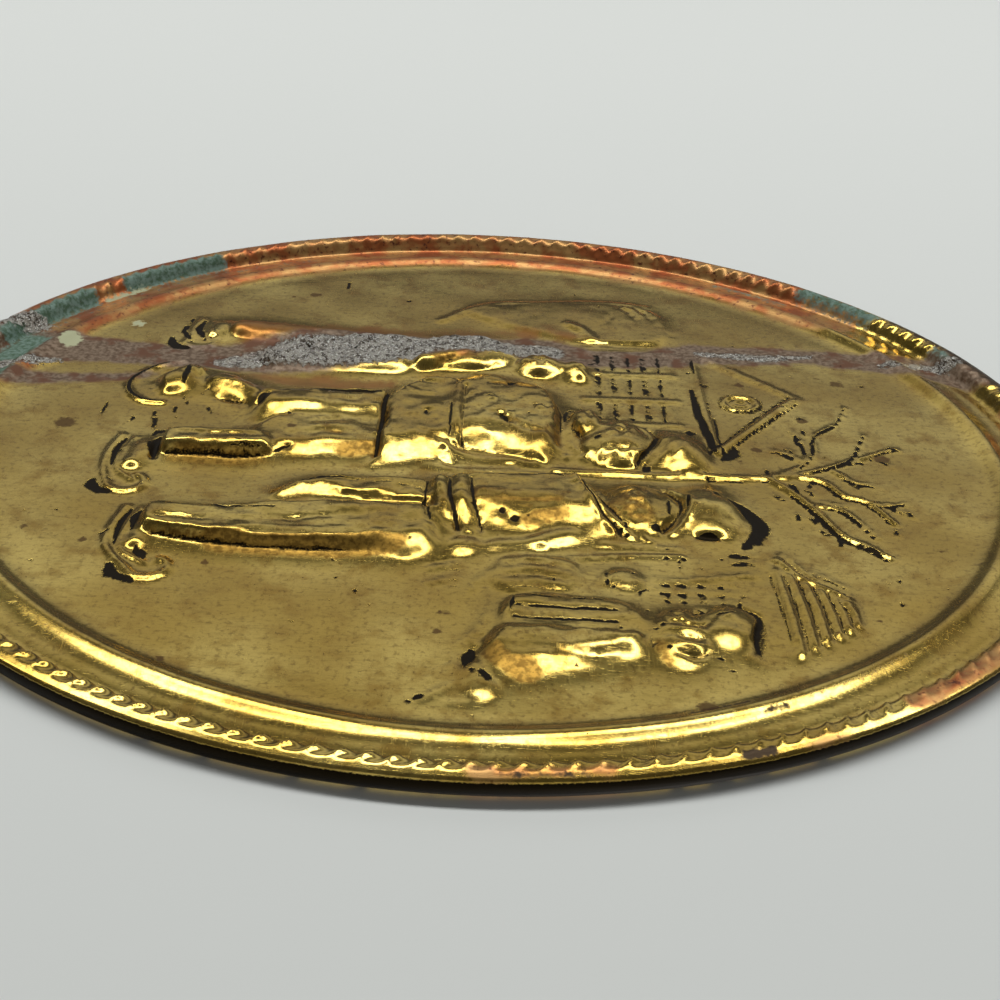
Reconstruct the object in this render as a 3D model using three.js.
// Round wall plaque pressed from thin brass sheet: skaters in a Dutch winter landscape
// inside a stepped border with a rolled, notched rim.
//
// Millimetres, +Z up. The wall is the plane Y = 0 and the scene faces -Y. The origin is
// the top of the flat ring that lies on the wall. The relief is laid out on the plaque's
// own plane: x to the right and y up from the centre, heights out of the wall.

import * as THREE from 'three';
import { ConvexHull } from 'three/addons/math/ConvexHull.js';

// ---------------------------------------------------------------- driving dimensions

const DIAMETER = 300;
const SHEET = 0.6; // brass sheet
const FIELD_HEIGHT = 1.5; // front of the flat field, out of the wall
const FIELD_RADIUS = 126;
const RIDGE = { foot: 128.3, rise: 1.9, crest: 130.8, outside: 133.8, height: 3.1 };
const BAND_HEIGHT = 1.5;
const BEAD = { foot: 142.2, notched: 143.6, top: 145.8, height: 6.1 };
const SHOULDER = { radius: 148.6, height: 5 }; // the bead's outer side, from its top down
const WIDEST_HEIGHT = 2.7;
const UNDERSIDE = { radius: 149.3, height: 0.9 };
const LIP = { outer: 147.6, inner: 143.4 }; // flat ring turned under against the wall
const RING_STEPS = 72;
const NOTCHES = 180;
const NOTCH_HEIGHT = 3.6;
const NOTCH_DEPTH = 1;

const BODY_HEIGHT = 5.5; // relief of the large skaters
const WALL_SLOPE = 1.6; // how steeply a pressed form rises from the field
const STEEPEST = 1.8; // the sheet is drawn thinner than this on steep walls
const SLOPE_STEP = 0.5; // distance over which a slope is measured

const FIELD_POINTS = 1550; // points of the field's mesh
const SAMPLE_STEP = 1.6; // spacing of the places where the field may get a point
const SHAKE = 0.3; // how far such a place is moved, as a share of the spacing
const GROWTH = 0.25; // points added in each round, as a share of those there
const CLOSEST_POINTS = 1.8;
const CLOSEST_RAILS = 1;
const RAIL_GAP = 10; // along the foot and brow of a form
const LINE_GAP = 9;
const HIDDEN_UNDER = 0.5; // a rail this far under another form is left out
const BROW = 0.72; // where a form levels out, as a share of its half width

// ---------------------------------------------------------------- forms of the relief

// Each form or line has a height(x, y) over the field and rails: the points along its
// foot and its brow that the mesh should pass through.

const clamp = (value, low, high) => Math.min(Math.max(value, low), high);
const mix = (a, b, s) => a + (b - a) * s;

// Full height over the middle, rounded down to nothing at the edge (away = 1).
function dome(away, reach, height) {
  if (away >= 1) return 0;
  const roundness = Math.max(2, (WALL_SLOPE * reach) / height);
  return height * (1 - away ** roundness);
}

function nearest([ax, ay], [bx, by], x, y) {
  const length2 = (bx - ax) ** 2 + (by - ay) ** 2;
  const along = clamp(((x - ax) * (bx - ax) + (y - ay) * (by - ay)) / length2, 0, 1);
  return { along, distance: Math.hypot(x - mix(ax, bx, along), y - mix(ay, by, along)) };
}

// A run of points no further apart than the given gap.
function stations(points, gap) {
  const run = [points[0]];
  for (let i = 0; i + 1 < points.length; i += 1) {
    const [a, b] = [points[i], points[i + 1]];
    const count = Math.ceil(Math.hypot(b[0] - a[0], b[1] - a[1]) / gap);
    for (let k = 1; k <= count; k += 1) run.push([0, 1].map((n) => mix(a[n], b[n], k / count)));
  }
  return run;
}

const arc = (cx, cy, radius, from, to, steps = 8) =>
  Array.from({ length: steps + 1 }, (_, i) => {
    const angle = THREE.MathUtils.degToRad(mix(from, to, i / steps));
    return [cx + radius * Math.cos(angle), cy + radius * Math.sin(angle)];
  });

const circle = (cx, cy, radius) => arc(cx, cy, radius, 0, 360, 12);

// A tapering round-ended form from one joint to the next.
function limb(from, to, radiusFrom, radiusTo, height) {
  const heading = THREE.MathUtils.radToDeg(Math.atan2(to[1] - from[1], to[0] - from[0]));
  const outline = (scale) => [
    ...arc(...to, radiusTo * scale, heading - 90, heading + 90, 3),
    ...arc(...from, radiusFrom * scale, heading + 90, heading + 270, 3),
  ];
  return {
    height: (x, y) => {
      const { along, distance } = nearest(from, to, x, y);
      const radius = mix(radiusFrom, radiusTo, along);
      return dome(distance / radius, radius, height);
    },
    rails: [1, BROW].flatMap((scale) => {
      const run = outline(scale);
      return stations([...run, run[0]], RAIL_GAP);
    }),
  };
}

// An oval form; tilt is in degrees, anticlockwise.
function blob([cx, cy], halfWidth, halfHeight, tilt, height) {
  const angle = THREE.MathUtils.degToRad(tilt);
  const [cos, sin] = [Math.cos(angle), Math.sin(angle)];
  const outline = (scale) =>
    circle(0, 0, 1).map(([u, v]) => [
      cx + scale * (u * halfWidth * cos - v * halfHeight * sin),
      cy + scale * (u * halfWidth * sin + v * halfHeight * cos),
    ]);
  return {
    height: (x, y) => {
      const u = (x - cx) * cos + (y - cy) * sin;
      const v = (y - cy) * cos - (x - cx) * sin;
      const away = Math.hypot(u / halfWidth, v / halfHeight);
      return dome(away, Math.min(halfWidth, halfHeight), height);
    },
    rails: [...outline(1), ...outline(BROW)],
  };
}

// A padded flat form with a straight-sided outline.
function plate(outline, height, edge) {
  const middle = [0, 1].map((k) => outline.reduce((sum, p) => sum + p[k], 0) / outline.length);
  const inset = outline.map((corner) => {
    const away = Math.hypot(corner[0] - middle[0], corner[1] - middle[1]);
    return [0, 1].map((k) => mix(corner[k], middle[k], edge / away));
  });
  return {
    height: (x, y) => {
      let inside = false;
      let distance = Infinity;
      outline.forEach((corner, i) => {
        const next = outline[(i + 1) % outline.length];
        distance = Math.min(distance, nearest(corner, next, x, y).distance);
        const crosses = corner[1] > y !== next[1] > y;
        const slant = ((next[0] - corner[0]) * (y - corner[1])) / (next[1] - corner[1]);
        if (crosses && x < slant + corner[0]) inside = !inside;
      });
      if (!inside) return 0;
      return height * (1 - (1 - Math.min(distance / edge, 1)) ** 2);
    },
    rails: [outline, inset].flatMap((run) => stations([...run, run[0]], RAIL_GAP)),
  };
}

// A raised line (or, with a negative height, a sunk one) along a run of points.
function line(points, halfWidth, height, taper = 1) {
  const last = points.length - 1;
  const run = stations(points, LINE_GAP);
  return {
    height: (x, y) => {
      let best = 0;
      for (let i = 0; i < last; i += 1) {
        const { along, distance } = nearest(points[i], points[i + 1], x, y);
        const width = halfWidth * mix(1, taper, (i + along) / last);
        best = Math.max(best, 1 - (distance / width) ** 2);
      }
      return height * best ** 1.5;
    },
    rails: run.flatMap((point, i) => {
      const [before, after] = [run[Math.max(i - 1, 0)], run[Math.min(i + 1, run.length - 1)]];
      const heading = Math.atan2(after[1] - before[1], after[0] - before[0]);
      const width = halfWidth * mix(1, taper, i / (run.length - 1));
      const side = [-Math.sin(heading) * width, Math.cos(heading) * width];
      return [0, 1, -1].map((k) => [point[0] + k * side[0], point[1] + k * side[1]]);
    }),
  };
}

// ---------------------------------------------------------------- the skaters

// A boot over a wooden skate whose blade sweeps up into a curl ahead of the toe.
function skate([heelX, heelY], length, lift, height) {
  const boot = [heelX + length * 0.24, heelY + 8];
  const toe = [heelX + length * 0.52, heelY + 6.5];
  const tip = [heelX + length, heelY + 4 + lift];
  const curl = arc(tip[0] - 4.5, tip[1], 4.5, -70, 150, 7);
  return {
    forms: [limb(boot, toe, 5, 3.6, height + 1)],
    lines: [line([[heelX, heelY + 1], [heelX + length * 0.6, heelY], ...curl], 1.9, height)],
  };
}

function beardedSkater() {
  const footing = skate([8, -92], 30, 3, 1.8);
  return {
    forms: [
      blob([2.5, 49.5], 10.5, 6.5, 18, BODY_HEIGHT), // peaked cap
      blob([-2, 35], 9.5, 9.5, 0, BODY_HEIGHT), // head
      blob([-9, 26], 10, 5.5, 12, 4.5), // beard blown to the side
      plate([[-29, -8], [-31, 6], [-25, 17], [-13, 20], [5, 18], [8, 4], [4, -9]], BODY_HEIGHT, 6.5),
      plate([[-27, -8], [4, -8], [12, -25.5], [-14, -26], [-24, -23], [-33, -17]], BODY_HEIGHT, 5),
      limb([-26, 12], [-34, 1], 5, 4.5, 4.5), // upper arm
      limb([-34, 1], [-29, -9], 4.5, 4, 4.5), // forearm
      limb([-11.5, -27], [-11.5, -54], 7.5, 7.5, 5), // thigh
      limb([-12, -56], [-25, -72], 7.5, 6.5, 4.2), // calf, swept back
      limb([-32, -80], [-20, -84], 6.5, 4.5, 3.5), // boot
      limb([4, -27], [8, -48], 8, 8, 5), // straight leg, thigh
      limb([9, -50], [14, -71.5], 8, 8.6, 5), // and wide trouser end
      ...footing.forms,
    ],
    lines: [
      line([[-3, -7], [10, -7.5]], 1.4, 0.9), // belt
      line([[-32, -18], [-24, -23.5], [-13, -26.5], [12, -26]], 1.6, -1.6), // under the hem
      line([[6, 44], [12, 42.5]], 1.2, -1), // below the cap
      line([[-36, -88], [-28, -94], [-19, -94.5], [-13, -91], [-11, -86]], 2.2, 2), // swept-back blade
      ...footing.lines,
    ],
  };
}

function cappedSkater() {
  const footing = skate([46, -83], 32, 7, 1.8);
  return {
    forms: [
      blob([35, 54.5], 12.5, 7.5, 8, BODY_HEIGHT), // round cap
      blob([36, 38], 10, 9, 0, 5), // head
      plate(
        [[24, 20], [26, 26], [46, 30], [52, 20], [50, 2], [47, -8], [29, -7], [25, 6]],
        BODY_HEIGHT,
        7,
      ),
      limb([46, 24], [54, 12], 6, 5, 4.6), // upper arm
      limb([54, 12], [55, -3], 4.6, 4, 4.2), // forearm and hand
      limb([37, -12], [32, -42], 8, 6.5, 5), // bent leg, ending at its knee
      limb([50, -13], [55.5, -40], 8.5, 7.5, 5.2), // straight leg
      limb([55.5, -40], [56, -62], 7.5, 7, 5), // and its trouser end
      ...footing.forms,
    ],
    lines: [
      line([[25, 46], [33, 49], [46, 45]], 1.6, 1), // rolled brim
      line([[23, 26], [36, 29], [50, 36]], 2.2, 1.5), // scarf
      line([[24, 22], [36, 24], [47, 28]], 1.8, 1.2), // its second turn
      line([[29, -5], [40, -5], [50, -1]], 1.5, 1), // belt
      line([[28, -9], [40, -9.5], [51, -5.5]], 1.2, -1.2), // below the jacket
      ...footing.lines,
    ],
  };
}

// Hanging arms linked between the two large skaters.
function linkedArms() {
  return {
    forms: [limb([9, 17], [13, -5], 4, 4.5, 3.4), limb([22, 22], [17, 8], 4, 3, 3)],
    lines: [],
  };
}

function smallSkater() {
  const footing = skate([-71, -85], 20, -1, 1.4);
  return {
    forms: [
      blob([-45, 24], 7.5, 4.5, 20, 3.5), // cap
      blob([-46, 14], 7.5, 8, 0, 4), // head
      blob([-52, -8], 12, 19, 8, 4), // coat
      limb([-48, -6], [-44, -18], 5, 4.5, 4.5), // arm and mitten
      limb([-54, -26], [-58, -46], 9, 7.5, 3.8), // far leg
      limb([-58, -46], [-63, -70], 7, 6, 3.6),
      limb([-44, -30], [-43, -58], 6.5, 6, 3.4), // near leg
      ...footing.forms,
    ],
    lines: footing.lines,
  };
}

// A woman bending to a child at her side.
function womanAndChild() {
  const pleats = [80, 83.5, 87.5].map((x) => line([[x, 30], [x, 10]], 1, -0.9));
  const frock = [64, 67.5, 71, 74.5].map((x) => line([[x + 2, 21], [x, 6]], 0.9, -0.6));
  return {
    forms: [
      blob([95, 53.5], 13.5, 7.5, -8, 3), // wide hat
      blob([90, 44], 8.5, 7.5, 0, 3.6), // head
      plate([[80, 8], [79, 31], [86, 38], [97, 36], [98, 6]], 2.8, 3), // pleated skirt
      limb([97, 33], [105, 19], 8, 9, 4.2), // back and sleeve
      limb([105, 17], [103, 8], 8, 6, 3.6),
      limb([110, 1], [116, 3], 3.5, 4.5, 2), // shoe
      blob([68, 33], 4.8, 5.6, 0, 2), // child's head
      plate([[62, 23], [74, 23], [78, 8], [72, 3], [62, 5], [60, 14]], 1.6, 1.8), // child's frock
    ],
    lines: [line([[81, 58], [88, 60.5], [97, 60]], 1.2, -1), ...pleats, ...frock],
  };
}

// ---------------------------------------------------------------- the village

function gabledHouse() {
  const apex = [-35, 84];
  const eaves = [[-60, 61], [4, 60]];
  const posts = [-62, -46, -29.5, -14].map((x) => line([[x, 50], [x + 1, 27]], 1.5, 0.9));
  const bars = [];
  for (let row = 0; row < 5; row += 1) {
    const y = 48 - 4.4 * row;
    bars.push(line([[-60, y], [-48, y]], 0.9, 0.6));
    bars.push(line([[-44, y], [-32, y + 0.4]], 0.9, 0.6));
    bars.push(line([[-28, y], [-15, y + 0.8]], 0.9, 0.6));
  }
  return {
    forms: [],
    lines: [
      line([eaves[0], apex], 2, 1.3),
      line([apex, eaves[1]], 2, 1.3),
      line([[-62, 57], [5, 58.5]], 1.7, 1.1), // cornice
      line(circle(-30, 68.5, 5), 1.3, 0.9), // round window
      line(circle(-30, 68.5, 1.5), 1.3, 0.6),
      ...posts,
      ...bars,
    ],
  };
}

function cottage() {
  const thatch = [];
  for (let row = 0; row < 6; row += 1) {
    const y = 67.5 + 3 * row;
    thatch.push(line([[61 + 2.3 * row, y], [98 - 2.6 * row, y + 0.8]], 1, 0.8));
  }
  return {
    forms: [plate([[53, 66], [99, 67], [84, 85], [73, 85]], 0.8, 2)],
    lines: [
      ...thatch,
      line([[54.5, 63], [55.5, 48]], 0.9, 0.7),
      line([[59, 63], [59, 48]], 0.9, 0.7),
      line([[64, 64], [69, 42]], 0.9, 0.8),
      line([[52.5, 47], [53, 28]], 0.9, 0.7),
      line([[57.5, 47], [60, 22]], 1.2, 0.9),
    ],
  };
}

function bareTree() {
  const fork = [14.5, 71];
  return {
    forms: [],
    lines: [
      line([[16.5, 18], [17, 55], fork], 2, 1.5, 0.9),
      line([fork, [22, 77], [31, 81], [43, 87], [53, 96]], 2.1, 1.4, 0.35),
      line([fork, [14, 80], [20, 87], [25, 93], [36, 100]], 1.9, 1.3, 0.35),
      line([[25, 93], [26, 104]], 1.3, 0.9, 0.4),
      line([[28, 81], [31, 88], [43, 94]], 1.5, 0.9, 0.4),
      line([fork, [8, 80], [-2, 85], [-14, 88], [-22, 95], [-32, 97]], 1.8, 1.2, 0.4),
      line([[12, 76], [6, 88], [0, 94], [-14, 100]], 1.6, 1.1, 0.4),
      line([[1, 94], [-6, 107]], 1.2, 0.8, 0.5),
      line([[7, 89], [17, 95]], 1.2, 0.8, 0.5),
      line([[4, 82], [-12, 78]], 1.1, 0.7, 0.4),
    ],
  };
}

// A snow-covered haystack behind the small skater, with a twig on top.
function haystack() {
  return {
    forms: [
      plate(
        [[-100, 33], [-96, 47], [-88, 53], [-74, 53], [-67, 45], [-68, 18], [-84, -8], [-94, -3]],
        1,
        4,
      ),
    ],
    lines: [
      line([[-97, 48], [-100, 33], [-95, 2], [-78, -15]], 2, 0.9),
      line([[-80, 22], [-69, 29]], 2.2, 1),
      line([[-99, 38], [-84, 45]], 1, 0.6, 0.4),
      line([[-98, 40], [-88, 50]], 1, 0.6, 0.4),
    ],
  };
}

const SCENE = [
  beardedSkater(),
  cappedSkater(),
  linkedArms(),
  smallSkater(),
  womanAndChild(),
  gabledHouse(),
  cottage(),
  bareTree(),
  haystack(),
];
const FORMS = SCENE.flatMap((subject) => subject.forms);
const LINES = SCENE.flatMap((subject) => subject.lines);

// Height of the pressed scene over the flat field.
function relief(x, y) {
  let height = 0;
  for (const form of FORMS) height = Math.max(height, form.height(x, y));
  let raised = 0;
  let sunk = 0;
  for (const mark of LINES) {
    const value = mark.height(x, y);
    raised = Math.max(raised, value);
    sunk = Math.min(sunk, value);
  }
  return Math.max(height + raised + sunk, 0);
}

// ---------------------------------------------------------------- the field's mesh

// Delaunay triangles of flat points: the underside of the hull of the points lifted
// onto a paraboloid.
function delaunay(points) {
  const lifted = points.map(([x, y], index) => {
    const point = new THREE.Vector3(x, y, (x * x + y * y) / FIELD_RADIUS);
    point.index = index;
    return point;
  });
  const hull = new ConvexHull().setFromPoints(lifted);
  const triangles = [];
  for (const face of hull.faces) {
    if (face.normal.z > -1e-9) continue;
    const corners = [0, 1, 2].map((i) => face.getEdge(i).head().point.index);
    triangles.push(corners.reverse());
  }
  return triangles;
}

function edgePoints() {
  return ringAngles(RING_STEPS).map((angle) => [
    FIELD_RADIUS * Math.cos(angle),
    FIELD_RADIUS * Math.sin(angle),
  ]);
}

function ringAngles(count) {
  return Array.from({ length: count }, (_, i) => ((i + 0.25) / count) * 2 * Math.PI);
}

// Places where the field may get a point, shaken a little so that no four lie on a circle.
function samplePoints() {
  const samples = [];
  const reach = FIELD_RADIUS - 2 * SAMPLE_STEP;
  const half = Math.ceil(FIELD_RADIUS / SAMPLE_STEP);
  for (let i = -half; i <= half; i += 1) {
    for (let j = -half; j <= half; j += 1) {
      const x = SAMPLE_STEP * (i + SHAKE * Math.sin(13 * i + 78.2 * j));
      const y = SAMPLE_STEP * (j + SHAKE * Math.sin(39.3 * i + 11.1 * j));
      if (Math.hypot(x, y) < reach) samples.push([x, y, relief(x, y)]);
    }
  }
  return samples;
}

const cellOf = (x, y) => [Math.round(x / SAMPLE_STEP), Math.round(y / SAMPLE_STEP)];

function samplesByCell(samples) {
  const cells = new Map();
  for (const sample of samples) {
    const key = cellOf(sample[0], sample[1]).join();
    if (!cells.has(key)) cells.set(key, []);
    cells.get(key).push(sample);
  }
  return cells;
}

// The samples in the cells that a triangle reaches over.
function samplesNear(corners, cells) {
  const reached = corners.map(([x, y]) => cellOf(x, y));
  const [low, high] = [Math.min, Math.max].map((pick) =>
    [0, 1].map((k) => pick(...reached.map((cell) => cell[k]))),
  );
  const found = [];
  for (let i = low[0]; i <= high[0]; i += 1) {
    for (let j = low[1]; j <= high[1]; j += 1) found.push(...(cells.get(`${i},${j}`) ?? []));
  }
  return found;
}

// How far a sample lies above or below a triangle, or null when it isn't over it.
function missedBy([a, b, c], [x, y, height]) {
  const area = (b[0] - a[0]) * (c[1] - a[1]) - (c[0] - a[0]) * (b[1] - a[1]);
  const shareB = ((x - a[0]) * (c[1] - a[1]) - (c[0] - a[0]) * (y - a[1])) / area;
  const shareC = ((b[0] - a[0]) * (y - a[1]) - (x - a[0]) * (b[1] - a[1])) / area;
  if (shareB < 0 || shareC < 0 || shareB + shareC > 1) return null;
  return Math.abs(height - (a[2] + shareB * (b[2] - a[2]) + shareC * (c[2] - a[2])));
}

// For each triangle, the sample that lies furthest from its plane, the worst first.
function worstSamples(points, triangles, cells) {
  const worst = [];
  for (const triangle of triangles) {
    const corners = triangle.map((index) => points[index]);
    let found = null;
    for (const sample of samplesNear(corners, cells)) {
      const error = missedBy(corners, sample);
      if (error !== null && (!found || error > found.error)) found = { error, sample };
    }
    if (found) worst.push(found);
  }
  return worst.sort((p, q) => q.error - p.error);
}

const crowded = ([x, y], others, gap) =>
  others.some((other) => Math.hypot(other[0] - x, other[1] - y) < gap);

// Rails of the lines first, then those of the forms where the form itself is on top.
function addRails(points) {
  for (const mark of [...LINES, ...FORMS]) {
    for (const [x, y] of mark.rails) {
      if (crowded([x, y], points, CLOSEST_RAILS)) continue;
      const top = relief(x, y);
      const hidden = FORMS.includes(mark) && top - mark.height(x, y) > HIDDEN_UNDER;
      if (!hidden) points.push([x, y, top]);
    }
  }
}

// The field is refined where the flat triangles miss the relief by most.
function fieldMesh() {
  const cells = samplesByCell(samplePoints());
  const points = edgePoints().map(([x, y]) => [x, y, 0]);
  addRails(points);
  let triangles = delaunay(points);
  while (points.length < FIELD_POINTS) {
    const wanted = Math.min(FIELD_POINTS - points.length, Math.ceil(points.length * GROWTH));
    const added = [];
    for (const { sample } of worstSamples(points, triangles, cells)) {
      if (added.length >= wanted) break;
      if (!crowded(sample, [...added, ...points], CLOSEST_POINTS)) added.push(sample);
    }
    if (added.length === 0) break;
    points.push(...added);
    triangles = delaunay(points);
  }
  return { points, triangles };
}

// ---------------------------------------------------------------- the rim's mesh

// Front of the border, from the field out over the bead to the ring on the wall.
const RIM_PROFILE = [
  [FIELD_RADIUS, FIELD_HEIGHT],
  [RIDGE.foot, RIDGE.rise],
  [RIDGE.crest, RIDGE.height],
  [RIDGE.outside, BAND_HEIGHT],
  [BEAD.foot, BAND_HEIGHT],
  [BEAD.notched, NOTCH_HEIGHT],
  [BEAD.top, BEAD.height],
  [SHOULDER.radius, SHOULDER.height],
  [DIAMETER / 2, WIDEST_HEIGHT],
  [UNDERSIDE.radius, UNDERSIDE.height],
  [LIP.outer, 0],
  [LIP.inner, 0],
];

// Rings with more points than the rest, for the lobes pressed between them.
const RING_COUNTS = new Map([[BEAD.foot, NOTCHES], [BEAD.notched, 2 * NOTCHES], [BEAD.top, NOTCHES]]);

// The back of the sheet needs no point for these.
const FRONT_ONLY = [BEAD.notched, SHOULDER.radius, UNDERSIDE.radius];

// The same line one sheet thickness inside the metal.
function inward(profile) {
  const normal = (a, b) => {
    const length = Math.hypot(b[0] - a[0], b[1] - a[1]);
    return [(b[1] - a[1]) / length, (a[0] - b[0]) / length];
  };
  return profile.map((point, i) => {
    const before = i > 0 ? normal(profile[i - 1], point) : null;
    const after = i + 1 < profile.length ? normal(point, profile[i + 1]) : null;
    const [n, m] = [before ?? after, after ?? before];
    const square = 1 + n[0] * m[0] + n[1] * m[1];
    return [0, 1].map((k) => point[k] + (SHEET * (n[k] + m[k])) / square);
  });
}

function profileRing([radius, height], count = RING_STEPS) {
  return ringAngles(count).map((angle) => {
    return [radius * Math.cos(angle), radius * Math.sin(angle), height];
  });
}

// A ring of the front; on the bead's inner shoulder every other point is pressed out
// into a lobe.
function frontRing(point) {
  const ring = profileRing(point, RING_COUNTS.get(point[0]));
  if (point[0] !== BEAD.notched) return ring;
  const out = Math.SQRT1_2 * NOTCH_DEPTH;
  return ring.map(([x, y, height], i) => {
    if (i % 2 === 0) return [x, y, height];
    const inner = 1 - out / BEAD.notched;
    return [x * inner, y * inner, height + out];
  });
}

// ---------------------------------------------------------------- the whole sheet

function plaqueGeometry() {
  const vertices = [];
  const indices = [];
  const addVertex = ([x, y, height]) => {
    vertices.push(x, -height, y - (LIP.inner + LIP.outer) / 2);
    return vertices.length / 3 - 1;
  };
  const addRing = (ring) => ring.map(addVertex);
  const triangle = (a, b, c) => indices.push(a, b, c);

  const bridge = (inner, outer) => {
    const finer = Math.max(inner.length, outer.length);
    const at = (ring, step) => ring[Math.floor((step * ring.length) / finer) % ring.length];
    for (let step = 0; step < finer; step += 1) {
      const [a, b] = [at(inner, step), at(outer, step)];
      const [a2, b2] = [at(inner, step + 1), at(outer, step + 1)];
      if (b !== b2) triangle(a, b, b2);
      if (a !== a2) triangle(a, b2, a2);
    }
  };

  const field = fieldMesh();
  const front = field.points.map(([x, y, z]) => addVertex([x, y, FIELD_HEIGHT + z]));
  const back = field.points.map(([x, y, z], i) => {
    if (i < RING_STEPS) return -1;
    return addVertex([x, y, FIELD_HEIGHT + z - SHEET * steepness(x, y)]);
  });
  for (const [a, b, c] of field.triangles) triangle(front[a], front[b], front[c]);

  const behind = inward(RIM_PROFILE.filter(([radius]) => !FRONT_ONLY.includes(radius)));
  const around = [
    ...RIM_PROFILE.slice(1).map(frontRing),
    ...behind.reverse().map((point) => profileRing(point)),
  ];
  let ring = front.slice(0, RING_STEPS);
  for (const points of around) {
    const next = addRing(points);
    bridge(ring, next);
    ring = next;
  }
  ring.forEach((index, i) => {
    back[i] = index;
  });
  for (const [a, b, c] of field.triangles) triangle(back[a], back[c], back[b]);

  const geometry = new THREE.BufferGeometry();
  geometry.setAttribute('position', new THREE.Float32BufferAttribute(vertices, 3));
  geometry.setIndex(indices);
  geometry.computeVertexNormals();
  return geometry;
}

// Sheet on a slope is thicker when measured straight through the plaque.
function steepness(x, y) {
  const slopeX = (relief(x + SLOPE_STEP, y) - relief(x - SLOPE_STEP, y)) / (2 * SLOPE_STEP);
  const slopeY = (relief(x, y + SLOPE_STEP) - relief(x, y - SLOPE_STEP)) / (2 * SLOPE_STEP);
  return Math.min(Math.hypot(1, slopeX, slopeY), STEEPEST);
}

const brass = new THREE.MeshStandardMaterial({ color: 0x8c7a3c, roughness: 0.4, metalness: 1 });
const plaque = new THREE.Mesh(plaqueGeometry(), brass);
plaque.name = 'embossed_plaque';

const model = new THREE.Group();
model.add(plaque);
export default model;
